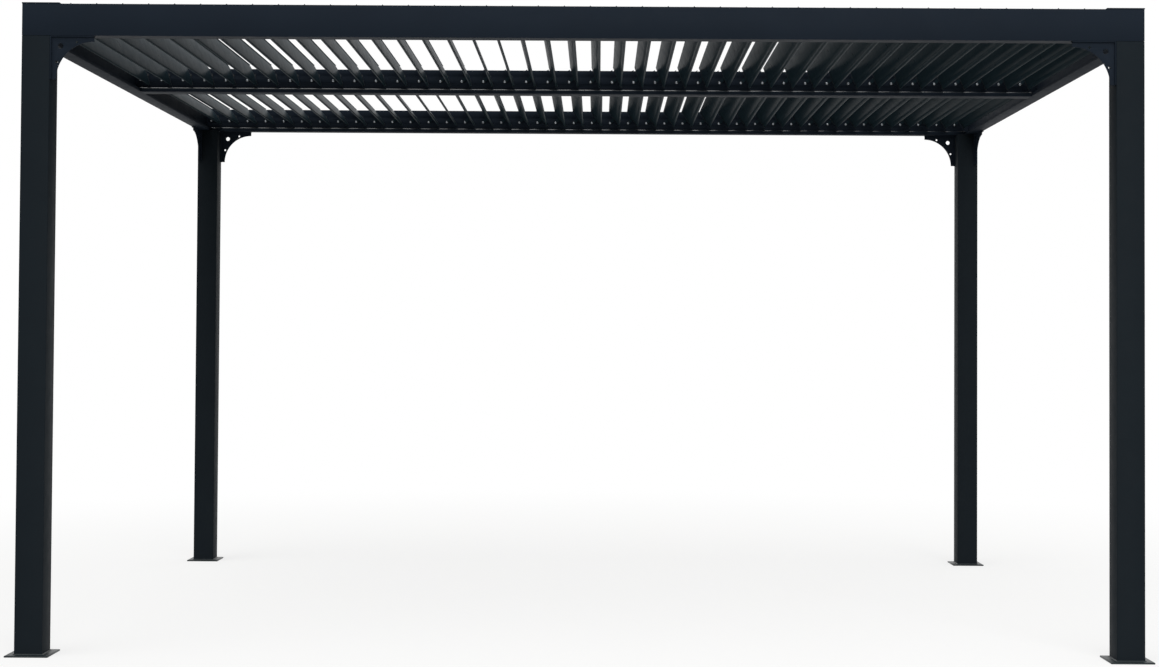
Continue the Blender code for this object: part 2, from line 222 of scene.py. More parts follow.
@dataclass(frozen=True)
class PowderCoat:
    """Polyester powder coat, sprayed on extruded aluminium and cured in an oven."""

    name: str
    colour: str
    thin_colour: str
    roughness: float
    specular: float = 0.06
    refraction: float = 1.5
    glossier: float = 0.03
    duller: float = 0.05
    cloud_mm: float = 180.0
    patch_mm: float = 45.0
    patch_ends: tuple[float, float] = (0.3, 0.7)
    peel_mm: float = 4.0
    peel_depth: float = 0.03
    peel_height: float = 0.4 * MM

    def make(self) -> bpy.types.Material:
        """Build the coat: a satin dark film with slow clouds of tone and a fine orange peel."""
        material, tree = empty_material(self.name)
        # the film's thickness drifts by a few microns, so the tone does too, very slowly
        cloud = noise(tree, self.cloud_mm, detail=3.0, roughness=0.55)
        # handling and rain leave patches that are a little duller
        patch = noise(tree, self.patch_mm, detail=4.0, roughness=0.6)
        dullness = (self.roughness - self.glossier, self.roughness + self.duller)
        # orange peel is about 1.5 mm across, drawn at 4 mm so that it shows in a close view
        peel = noise(tree, self.peel_mm, detail=2.0)
        coat = add_node(
            tree,
            "ShaderNodeBsdfPrincipled",
            inputs={
                "Base Color": blend(tree, cloud, self.thin_colour, self.colour),
                "Roughness": spread(tree, patch, dullness, self.patch_ends),
                "Specular IOR Level": self.specular,
                "IOR": self.refraction,
                "Normal": bump(tree, peel, self.peel_depth, self.peel_height),
            },
        )
        add_node(tree, "ShaderNodeOutputMaterial", inputs={"Surface": coat.outputs["BSDF"]})
        return material


@dataclass(frozen=True)
class StainlessSteel:
    """Cold-formed A2 stainless screws and pins: grey metal, dulled a little by weather."""

    name: str = "stainless_steel"
    colour: str = "#A4A9AE"
    roughness: float = 0.28
    glossier: float = 0.08
    duller: float = 0.12
    smear_mm: float = 3.0

    def make(self) -> bpy.types.Material:
        """Build the steel: bright metal with a gloss that wavers over a few millimetres."""
        material, tree = empty_material(self.name)
        smear = noise(tree, self.smear_mm, detail=3.0)
        dullness = (self.roughness - self.glossier, self.roughness + self.duller)
        metal = add_node(
            tree,
            "ShaderNodeBsdfPrincipled",
            inputs={
                "Base Color": to_linear(self.colour),
                "Metallic": 1.0,
                "Roughness": spread(tree, smear, dullness),
            },
        )
        add_node(tree, "ShaderNodeOutputMaterial", inputs={"Surface": metal.outputs["BSDF"]})
        return material


@dataclass(frozen=True)
class MouldedNylon:
    """Black injection-moulded nylon with a fine spark-eroded grain."""

    name: str = "black_nylon"
    colour: str = "#15181B"
    worn_colour: str = "#1C2024"
    roughness: float = 0.55
    specular: float = 0.4
    refraction: float = 1.53
    grain_mm: float = 1.6
    grain_depth: float = 0.12
    grain_height: float = 0.3 * MM

    def make(self) -> bpy.types.Material:
        """Build the nylon: dull black with a fine even grain."""
        material, tree = empty_material(self.name)
        # the grain is 0.2 mm, drawn at 1.6 mm so that a close view shows it
        grain = noise(tree, self.grain_mm, detail=2.0)
        nylon = add_node(
            tree,
            "ShaderNodeBsdfPrincipled",
            inputs={
                "Base Color": blend(tree, grain, self.colour, self.worn_colour),
                "Roughness": self.roughness,
                "Specular IOR Level": self.specular,
                "IOR": self.refraction,
                "Normal": bump(tree, grain, self.grain_depth, self.grain_height),
            },
        )
        add_node(tree, "ShaderNodeOutputMaterial", inputs={"Surface": nylon.outputs["BSDF"]})
        return material


@dataclass(frozen=True)
class Finishes:
    """Every finish of the pergola, made once."""

    beam_coat: bpy.types.Material
    post_coat: bpy.types.Material
    blade_coat: bpy.types.Material
    plate_coat: bpy.types.Material
    lip_coat: bpy.types.Material
    steel: bpy.types.Material
    nylon: bpy.types.Material

    @classmethod
    def mix(cls) -> "Finishes":
        """Make all finishes."""
        return cls(
            beam_coat=PowderCoat("anthracite_beam_coat", "#1A222C", "#161D26", 0.62).make(),
            # the posts take a darker copy of the beams' anthracite coat: the extra darkness is painted
            # shade, not a different paint
            post_coat=PowderCoat("anthracite_post_coat", "#161D22", "#12181D", 0.62).make(),
            # the blades take a lighter, bluer copy of the anthracite coat with almost no specular: their
            # tone is the paint's own, and the extra lightness over the beam coat is painted sheen that
            # stands in for the sky's reflection
            blade_coat=PowderCoat(
                "anthracite_blade_coat", "#27353D", "#212E35", 0.30, specular=0.003, peel_depth=0.006
            ).make(),
            plate_coat=PowderCoat("anthracite_plate_coat", "#20282B", "#1A2124", 0.36, specular=0.2).make(),
            lip_coat=PowderCoat("anthracite_lip_coat", "#1E262C", "#182026", 0.18, specular=1.0).make(),
            steel=StainlessSteel().make(),
            nylon=MouldedNylon().make(),
        )


# ---------------------------------------------------------------- workbench


def clear_bench() -> None:
    """Leave edit mode and deselect everything."""
    if bpy.context.mode != "OBJECT":
        bpy.ops.object.mode_set(mode="OBJECT")
    bpy.ops.object.select_all(action="DESELECT")


def take(piece: bpy.types.Object) -> None:
    """Select one piece alone and make it active."""
    clear_bench()
    piece.select_set(True)
    bpy.context.view_layer.objects.active = piece


@contextmanager
def editing(piece: bpy.types.Object, pick: Pick) -> Iterator[None]:
    """Work on a piece in edit mode, with nothing selected at the start.

    Args:
        piece: the mesh to work on.
        pick: corners, edges or faces.
    """
    take(piece)
    bpy.ops.object.mode_set(mode="EDIT")
    bpy.ops.mesh.select_mode(type=pick.value)
    bpy.ops.mesh.select_all(action="DESELECT")
    yield
    bpy.ops.object.mode_set(mode="OBJECT")


def pick_faces(piece: bpy.types.Object, test: Callable[[Vector, Vector], bool]) -> None:
    """Select the faces whose middle and normal pass the test, and no others."""
    mesh = bmesh.from_edit_mesh(piece.data)
    for face in mesh.faces:
        face.select_set(test(face.calc_center_median(), face.normal))
    bmesh.update_edit_mesh(piece.data)


def pick_edges(piece: bpy.types.Object, test: Callable[[Vector, Vector], bool]) -> None:
    """Select the edges whose two ends pass the test, and no others."""
    mesh = bmesh.from_edit_mesh(piece.data)
    for edge in mesh.edges:
        edge.select_set(test(edge.verts[0].co, edge.verts[1].co))
    bmesh.update_edit_mesh(piece.data)


def pick_corners(piece: bpy.types.Object, test: Callable[[Vector], bool]) -> None:
    """Select the corners whose place passes the test, and no others."""
    mesh = bmesh.from_edit_mesh(piece.data)
    for corner in mesh.verts:
        corner.select_set(test(corner.co))
    bmesh.update_edit_mesh(piece.data)


def near(value: float, target: float) -> bool:
    """Say whether two lengths agree."""
    return abs(value - target) < SLACK


def named(name: str, material: bpy.types.Material) -> bpy.types.Object:
    """Name the piece that was just added, seat it at the origin and give it its finish."""
    piece = bpy.context.active_object
    piece.name = name
    piece.data.name = name
    bpy.ops.object.transform_apply(location=True, rotation=True, scale=True)
    piece.data.materials.clear()
    piece.data.materials.append(material)
    return piece


def blank(name: str, low: Vector, high: Vector, material: bpy.types.Material) -> bpy.types.Object:
    """Saw a rectangular blank between two corners, to be shaped further."""
    clear_bench()
    bpy.ops.mesh.primitive_cube_add(size=1.0, location=(low + high) / 2)
    bpy.context.active_object.scale = high - low
    return named(name, material)


def bar_stock(
    name: str,
    radius: float,
    start: Vector,
    end: Vector,
    material: bpy.types.Material,
    sides: int = TURNED_SIDES,
) -> bpy.types.Object:
    """Cut round bar between two points, to be shaped further.

    Args:
        name: the piece's name.
        radius: the bar's radius.
        start: middle of one end.
        end: middle of the other end.
        material: its finish.
        sides: facets round it.

    Returns:
        The bar.
    """
    clear_bench()
    along = end - start
    bpy.ops.mesh.primitive_cylinder_add(
        vertices=sides, radius=radius, depth=along.length, location=(start + end) / 2
    )
    bpy.context.active_object.rotation_euler = along.to_track_quat("Z", "Y").to_euler()
    return named(name, material)


def shade_smooth(piece: bpy.types.Object, limit_deg: float) -> None:
    """Shade a piece smooth over its shallow edges."""
    take(piece)
    bpy.ops.object.shade_smooth_by_angle(angle=math.radians(limit_deg))


def round_edges(piece: bpy.types.Object, width: float, steps: int = 2) -> None:
    """Break the sharp edges of a piece and shade it smooth."""
    take(piece)
    bevel = piece.modifiers.new("broken_edges", "BEVEL")
    bevel.width = width
    bevel.segments = steps
    bevel.limit_method = "ANGLE"
    bevel.angle_limit = math.radians(TURNED_DEG)
    bevel.miter_outer = "MITER_ARC"
    bevel.use_clamp_overlap = True
    bpy.ops.object.modifier_apply(modifier=bevel.name)
    shade_smooth(piece, TURNED_DEG)


def turn(piece: bpy.types.Object, angle: float, axis: str, about: Vector = Vector()) -> None:
    """Turn a piece's mesh about an axis through a point."""
    spot = Matrix.Translation(about)
    piece.data.transform(spot @ Matrix.Rotation(angle, 4, axis) @ spot.inverted())


def copy_to(piece: bpy.types.Object, name: str, matrix: Matrix) -> bpy.types.Object:
    """Copy a piece with a mesh of its own and put it in its place."""
    twin = piece.copy()
    twin.data = piece.data.copy()
    twin.name = name
    twin.data.name = name
    twin.data.transform(matrix)
    if matrix.is_negative:
        twin.data.flip_normals()
    bpy.context.scene.collection.objects.link(twin)
    return twin


def join(name: str, parts: list[bpy.types.Object]) -> bpy.types.Object:
    """Fix several pieces together as one."""
    clear_bench()
    for part in parts:
        part.select_set(True)
    bpy.context.view_layer.objects.active = parts[0]
    bpy.ops.object.join()
    parts[0].name = name
    parts[0].data.name = name
    return parts[0]


def dressed_copy(node: str, name: str, material: bpy.types.Material, edge: float) -> bpy.types.Object:
    """Copy a CAD node, merge it, break its edges and let it stand for the node.

    Args:
        node: the CAD node's name.
        name: the new piece's name.
        material: its finish.
        edge: radius of its broken edges.

    Returns:
        The finished piece.
    """
    source = frame["nodes"][node]
    piece = bpy.data.objects.new(name, source.data.copy())
    piece.data.transform(source.matrix_world)
    bpy.context.scene.collection.objects.link(piece)
    with editing(piece, Pick.CORNERS):
        bpy.ops.mesh.select_all(action="SELECT")
        bpy.ops.mesh.remove_doubles(threshold=CAD_GAP)
        bpy.ops.mesh.dissolve_limited(angle_limit=math.radians(CAD_BEND_DEG))
    piece.data.materials.clear()
    piece.data.materials.append(material)
    for face in piece.data.polygons:
        face.material_index = 0
    round_edges(piece, edge)
    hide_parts(node)
    return piece


def hand_over(piece: bpy.types.Object, body: str) -> None:
    """Let a finished piece move with its body and log how many faces it has."""
    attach(piece, body)
    LOG.info("%s rides on %s, %d faces", piece.name, body, len(piece.data.polygons))


def louvre_lines() -> dict[str, Vector]:
    """Give each louvre's name and pivot, from the left, as the record has them."""
    joints = frame["record"]["behaviour"]["joints"]
    return {j["child"]: Vector(j["pos_m"]) for j in joints if j["child"].startswith("louver_")}


# ---------------------------------------------------------------- louvres


@dataclass(frozen=True)
class Station:
    """One cut across the blade's section: its place on the chord and both faces' heights, in mm."""

    along: float
    upper: float
    lower: float


@dataclass(frozen=True)
class ButtonHead:
    """The drive bolt's button head and the nylon washer under it."""

    washer_radius: float = 7.2 * MM
    washer_top: float = 0.9 * MM
    radius: float = 4.6 * MM
    top: float = 3.7 * MM
    crown_width: float = 1.5 * MM
    socket_rim: float = 1.2 * MM
    socket_depth: float = 1.4 * MM
    shoulder_radius: float = 4.2 * MM
    shoulder_drop: float = 1.3 * MM


@dataclass
class Louvre:
    """One louvre line: a front and a rear blade on a shaft, with caps, cranks, pins and drive bolts."""

    finishes: Finishes
    # the section round the pivot line: the head is its raised edge and the nose its lowered one
    head_reach: float = 46.8 * MM
    nose_reach: float = 49.1 * MM
    thickness: float = 10.6 * MM
    head_levels: tuple[float, float] = (1.25, -3.75)
    nose_levels: tuple[float, float] = (2.6, -5.3)
    nose_round: float = 3.7 * MM
    lip_height: float = 2.6 * MM
    lip_round: float = 0.7 * MM
    # where each bay's blades end along Y, and their slopes in the photograph
    front_span: tuple[float, float] = (-1443.0 * MM, -37.0 * MM)
    rear_span: tuple[float, float] = (37.0 * MM, 1443.0 * MM)
    front_tilt: float = math.radians(69.2)
    rear_tilt: float = math.radians(55.3)
    # end caps, and the tab on the front one that shows over the beam
    cap_thickness: float = 2.5 * MM
    cap_rim: float = 1.0 * MM
    tab_root: float = 43.0 * MM
    tab_reach: float = 54.4 * MM
    tab_depth: float = 3.0 * MM
    tab_levels: tuple[float, float] = (-2.2 * MM, 1.7 * MM)
    tab_round: float = 0.3 * MM
    # what carries the blades and turns them
    pin_radius: float = 4.0 * MM
    pin_reach: float = 1480.0 * MM
    pin_bite: float = 10.0 * MM
    crank_width: float = 14.0 * MM
    crank_thickness: float = 3.0 * MM
    crank_rounding: float = 0.92
    crank_bite: float = 1.0 * MM
    bolt_left: float = 23.7 * MM
    bolt_drop: float = 24.5 * MM
    button: ButtonHead = ButtonHead()
    stations: tuple[Station, ...] = (
        Station(-43.8, 1.25, -3.9),
        Station(-34.5, 3.00, -4.3),
        Station(-26.0, 4.20, -4.6),
        Station(-13.0, 5.10, -5.0),
        Station(0.0, 5.30, -5.3),
        Station(14.0, 5.10, -5.1),
        Station(26.0, 4.50, -4.8),
        Station(29.5, 4.28, -3.4),
        Station(33.5, 4.00, -3.4),
        Station(36.5, 3.78, -5.3),
        Station(42.5, 3.25, -5.3),
    )

    def extrusion(self, length: float) -> bpy.types.Object:
        """Shape one blade's extrusion, level and round its pivot line.

        Args:
            length: its length along Y, centred on the origin.

        Returns:
            The blade with its crowned face, rain lip, drip groove and round nose.
        """
        head = -self.head_reach
        nose = self.nose_reach
        deep = self.thickness / 2
        blade = blank(
            "blade_blank",
            Vector((head, -length / 2, -deep)),
            Vector((nose, length / 2, deep)),
            self.finishes.blade_coat,
        )
        with editing(blade, Pick.CORNERS):
            for station in self.stations:
                bpy.ops.mesh.select_all(action="SELECT")
                bpy.ops.mesh.bisect(plane_co=(station.along * MM, 0, 0), plane_no=(1, 0, 0))
            edge = Station(head / MM, *self.head_levels)
            tip = Station(nose / MM, *self.nose_levels)
            for station in (edge, *self.stations, tip):
                for level, height in ((deep, station.upper), (-deep, station.lower)):
                    rise = height * MM - level
                    if near(rise, 0.0):
                        continue
                    pick_corners(
                        blade, lambda c, s=station, z=level: near(c.x, s.along * MM) and near(c.z, z)
                    )
                    bpy.ops.transform.translate(value=(0, 0, rise))
        lip_root = self.stations[0].along * MM
        with editing(blade, Pick.FACES):
            pick_faces(blade, lambda c, n: n.z > FACING and c.x < lip_root)
            bpy.ops.mesh.extrude_region_move(TRANSFORM_OT_translate={"value": (0, 0, self.lip_height)})
        with editing(blade, Pick.EDGES):
            pick_edges(blade, lambda a, b: near(a.x, nose) and near(b.x, nose) and near(a.z, b.z))
            bpy.ops.mesh.bevel(offset=self.nose_round, segments=4, affect="EDGES")
        above_face = (self.head_levels[0] * MM + self.lip_height) / 2
        with editing(blade, Pick.EDGES):
            pick_edges(
                blade,
                lambda a, b: near(a.z, b.z)
                and near(a.x, b.x)
                and (near(a.x, head) or (a.x < lip_root + SLACK and a.z > above_face)),
            )
            bpy.ops.mesh.bevel(offset=self.lip_round, segments=2, affect="EDGES")
        shade_smooth(blade, PROFILE_DEG)
        return blade

    def end_caps(self, blade: bpy.types.Object) -> bpy.types.Object:
        """Mould the caps that close both ends of a blade, from the blade's own section."""
        caps = copy_to(blade, "end_caps", Matrix())
        with editing(caps, Pick.FACES):
            pick_faces(caps, lambda c, n: abs(n.y) < FACING)
            bpy.ops.mesh.delete(type="FACE")
            bpy.ops.mesh.select_all(action="SELECT")
            bpy.ops.mesh.extrude_region_move()
            for side in (-1, 1):
                pick_faces(caps, lambda c, n, s=side: n.y * s > FACING and c.y * s > 0)
                bpy.ops.transform.translate(value=(0, side * self.cap_thickness, 0))
            bpy.ops.mesh.select_all(action="SELECT")
            deep = self.thickness / 2
            bpy.ops.transform.resize(
                value=(1 + self.cap_rim / (self.head_reach + self.nose_reach), 1, 1 + self.cap_rim / deep),
                center_override=(-self.head_reach, 0, 0),
            )
        caps.data.materials.clear()
        caps.data.materials.append(self.finishes.nylon)
        return caps

    def blade(self, span: tuple[float, float], tilt: float) -> tuple[bpy.types.Object, bpy.types.Object]:
        """Build one blade and its caps in their bay at their tilt.

        Args:
            span: Y of the caps' outer faces.
            tilt: the blade's slope from level.

        Returns:
            The extrusion and its pair of caps.
        """
        length = span[1] - span[0] - 2 * self.cap_thickness
        extrusion = self.extrusion(length)
        caps = self.end_caps(extrusion)
        middle = Vector((0, (span[0] + span[1]) / 2, 0))
        for part in (extrusion, caps):
            part.data.transform(Matrix.Translation(middle) @ Matrix.Rotation(tilt, 4, "Y"))
        return extrusion, caps

    def end_tab(self) -> bpy.types.Object:
        """Mould the small tab that stands beyond the raised edge at the front blade's front end."""
        start = self.front_span[0]
        tab = blank(
            "end_tab",
            Vector((-self.tab_reach, start, self.tab_levels[0])),
            Vector((-self.tab_root, start + self.tab_depth, self.tab_levels[1])),
            self.finishes.nylon,
        )
        round_edges(tab, self.tab_round)
        turn(tab, self.front_tilt, "Y")
        return tab

    def crank(self, face: float) -> bpy.types.Object:
        """Punch the crank plate that reaches from the pivot to the drive bolt.

        Args:
            face: Y of the plate's front face.

        Returns:
            The plate, rounded at both ends.
        """
        reach = math.hypot(self.bolt_left, self.bolt_drop)
        half = self.crank_width / 2
        plate = blank(
            "crank",
            Vector((-half, face, -half)),
            Vector((reach + half, face + self.crank_thickness, half)),
            self.finishes.blade_coat,
        )
        with editing(plate, Pick.EDGES):
            pick_edges(plate, lambda a, b: near(a.x, b.x) and near(a.z, b.z))
            bpy.ops.mesh.bevel(offset=half * self.crank_rounding, segments=4, affect="EDGES")
        turn(plate, math.atan2(self.bolt_drop, -self.bolt_left), "Y")
        return plate

    def drive_bolt(self, face: float) -> bpy.types.Object:
        """Turn the button-head bolt that ties a crank to its drive bar, with its nylon washer.

        Args:
            face: Y of the crank's front face, under the washer.

        Returns:
            The bolt on its washer, in its place under the pivot.
        """
        button = self.button
        seat = face - button.washer_top
        top = face - button.top
        washer = bar_stock(
            "washer",
            button.washer_radius,
            Vector((0, face, 0)),
            Vector((0, seat, 0)),
            self.finishes.nylon,
        )
        head = bar_stock(
            "head", button.radius, Vector((0, seat, 0)), Vector((0, top, 0)), self.finishes.steel
        )
        with editing(head, Pick.FACES):
            pick_faces(head, lambda c, n: n.y < -FACING)
            bpy.ops.mesh.inset(thickness=button.crown_width, depth=0.0)
            bpy.ops.mesh.inset(thickness=button.socket_rim, depth=0.0)
            bpy.ops.transform.translate(value=(0, button.socket_depth, 0))
            pick_corners(
                head, lambda c: near(c.y, top) and math.hypot(c.x, c.z) > button.shoulder_radius
            )
            bpy.ops.transform.translate(value=(0, button.shoulder_drop, 0))
        bolt = join("drive_bolt", [head, washer])
        bolt.data.transform(Matrix.Translation((-self.bolt_left, 0, -self.bolt_drop)))
        shade_smooth(bolt, TURNED_DEG)
        return bolt

    def pins(self) -> list[bpy.types.Object]:
        """Turn the two end pins and the shaft through the centre beam."""
        spans = (
            (-self.pin_reach, self.front_span[0] + self.pin_bite),
            (self.front_span[1] - self.pin_bite, self.rear_span[0] + self.pin_bite),
            (self.rear_span[1] - self.pin_bite, self.pin_reach),
        )
        made = []
        for low, high in spans:
            pin = bar_stock(
                "pin", self.pin_radius, Vector((0, low, 0)), Vector((0, high, 0)), self.finishes.steel
            )
            shade_smooth(pin, TURNED_DEG)
            made.append(pin)
        return made

    def build(self) -> None:
        """Build one louvre and lay a copy on every pivot."""
        front, front_caps = self.blade(self.front_span, self.front_tilt)
        rear, rear_caps = self.blade(self.rear_span, self.rear_tilt)
        blades = join("blades", [front, rear])
        fittings = [front_caps, rear_caps, *self.pins()]
        for end in (self.front_span[1], self.rear_span[1]):
            face = end - self.crank_bite
            fittings += [self.crank(face), self.drive_bolt(face)]
        plain = join("plain_fittings", fittings)
        tabbed = join("tabbed_fittings", [copy_to(plain, "tabbed", Matrix()), self.end_tab()])
        for number, (line, pivot) in enumerate(louvre_lines().items()):
            spot = Matrix.Translation(pivot)
            pair = copy_to(blades, f"{line}_blades", spot)
            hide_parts(line)
            hand_over(pair, line)
            # the first louvre has no tab, which would strike the left beam
            hardware = tabbed if number else plain
            hand_over(copy_to(hardware, f"{line}_fittings", spot), line)
        for pattern in (blades, plain, tabbed):
            bpy.data.objects.remove(pattern)


# ---------------------------------------------------------------- frame


@dataclass
class Beams:
    """The four mitred beams and the centre beam, with the bushings that carry the louvre pins."""

    finishes: Finishes
    names: tuple[str, ...] = ("front_beam", "rear_beam", "left_beam", "right_beam", "centre_beam")
    edge: float = 1.0 * MM
    # walls that carry pins, and the flanged bushings in them
    outer_wall: float = 1468.0 * MM
    centre_wall: float = 12.0 * MM
    flange_radius: float = 8.5 * MM
    flange: float = 1.6 * MM
    bore: float = 4.3 * MM
    # the beads, and the faces and the top of the lips that they run along
    bead_radius: float = 3.8 * MM
    bead_sides: int = 20
    bead_edge: float = 0.5 * MM
    bead_reach: float = 1940.0 * MM
    lip_top: float = 2220.0 * MM
    outer_lip: float = 1440.0 * MM
    centre_lip: float = 40.0 * MM

    def lip_beads(self) -> None:
        """Roll a bead along the lips of the long rain channels; it catches the sky between the blades."""
        outside = self.outer_lip + self.bead_radius
        centre = self.centre_lip - self.bead_radius
        runs = {
            "front_bead": -outside,
            "centre_front_bead": -centre,
            "centre_rear_bead": centre,
            "rear_bead": outside,
        }
        for name, y in runs.items():
            bead = bar_stock(
                name,
                self.bead_radius,
                Vector((-self.bead_reach, y, self.lip_top)),
                Vector((self.bead_reach, y, self.lip_top)),
                self.finishes.lip_coat,
                self.bead_sides,
            )
            round_edges(bead, self.bead_edge, 1)
            shade_smooth(bead, PROFILE_DEG)
            hand_over(bead, Body.FRAME.value)

    def bushing(self) -> bpy.types.Object:
        """Mould one flanged bushing that faces -Y from the origin."""
        ring = bar_stock(
            "bushing",
            self.flange_radius,
            Vector((0, 0, 0)),
            Vector((0, -self.flange, 0)),
            self.finishes.nylon,
        )
        with editing(ring, Pick.FACES):
            pick_faces(ring, lambda c, n: abs(n.y) > FACING)
            bpy.ops.mesh.inset(thickness=self.flange_radius - self.bore, depth=0.0)
            bpy.ops.mesh.bridge_edge_loops()
        shade_smooth(ring, TURNED_DEG)
        return ring

    def bushing_rows(self) -> None:
        """Press a row of bushings into each wall that carries pins."""
        pattern = self.bushing()
        rows = {
            "front_bushings": (-self.outer_wall, True),
            "centre_front_bushings": (-self.centre_wall, False),
            "centre_rear_bushings": (self.centre_wall, True),
            "rear_bushings": (self.outer_wall, False),
        }
        for name, (wall, faces_back) in rows.items():
            facing = Matrix.Rotation(math.pi, 4, "Z") if faces_back else Matrix()
            ring_set = []
            for pivot in louvre_lines().values():
                spot = Matrix.Translation((pivot[0], wall, pivot[2]))
                ring_set.append(copy_to(pattern, "ring", spot @ facing))
            hand_over(join(name, ring_set), Body.FRAME.value)
        bpy.data.objects.remove(pattern)

    def build(self) -> None:
        """Dress the beams and press in their bushings."""
        for node in self.names:
            beam = dressed_copy(node, f"{node}_coated", self.finishes.beam_coat, self.edge)
            hand_over(beam, Body.FRAME.value)
        self.lip_beads()
        self.bushing_rows()


@dataclass
class Posts:
    """The four square posts on their welded base plates."""

    finishes: Finishes
    names: tuple[str, ...] = ("front_left_post", "front_right_post", "rear_left_post", "rear_right_post")
    edge: float = 2.0 * MM
    half_side: float = 50.0 * MM
    half_plate: float = 77.5 * MM
    plate_top: float = 6.0 * MM
    plate_coat_top: float = 6.2 * MM
    weld: float = 3.5 * MM
    weld_sink: float = 0.5 * MM
    weld_rounding: float = 0.85
    weld_hollow: float = 0.3

    def middle(self, node: str) -> Vector:
        """Find a post's middle on the ground, in from the outer corner of its plate."""
        low, high = (Vector(corner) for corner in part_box(node))
        spot = []
        for inner, outer in ((low.x, high.x), (low.y, high.y)):
            spot.append(outer - self.half_plate if inner > 0 else inner + self.half_plate)
        return Vector((*spot, 0))

    def foot_weld(self, name: str, middle: Vector) -> bpy.types.Object:
        """Lay the fillet weld round a post's foot, under the same coat.

        Args:
            name: the weld's name.
            middle: the post's middle on the ground.

        Returns:
            The weld, hollowed towards the post by its rounded top edge.
        """
        out = self.half_side + self.weld
        top = self.plate_top + self.weld
        seam = blank(
            name,
            middle + Vector((-out, -out, self.plate_top - self.weld_sink)),
            middle + Vector((out, out, top)),
            self.finishes.plate_coat,
        )
        with editing(seam, Pick.EDGES):
            pick_edges(seam, lambda a, b: near(a.z, top) and near(b.z, top))
            bpy.ops.mesh.bevel(
                offset=self.weld * self.weld_rounding, segments=3, profile=self.weld_hollow, affect="EDGES"
            )
        shade_smooth(seam, TURNED_DEG)
        return seam

    def build(self) -> None:
        """Dress the posts, give their base plates the smoother coat and weld their feet."""
        for node in self.names:
            # the posts' coat is darker than the beams' because painted shade is in its colour
            post = dressed_copy(node, f"{node}_coated", self.finishes.post_coat, self.edge)
            post.data.materials.append(self.finishes.plate_coat)
            for face in post.data.polygons:
                if face.center.z < self.plate_coat_top:
                    face.material_index = post.data.materials.find(self.finishes.plate_coat.name)
            hand_over(post, Body.FRAME.value)
            weld = self.foot_weld(f"{node}_foot_weld", self.middle(node))
            hand_over(weld, Body.FRAME.value)


@dataclass(frozen=True)
class PanHead:
    """A small pan-head screw with a driver's recess."""

    radius: float = 3.1 * MM
    height: float = 2.2 * MM
    sides: int = 10
    rim: float = 0.8 * MM
    crown: float = 0.5 * MM
    recess_depth: float = 1.2 * MM


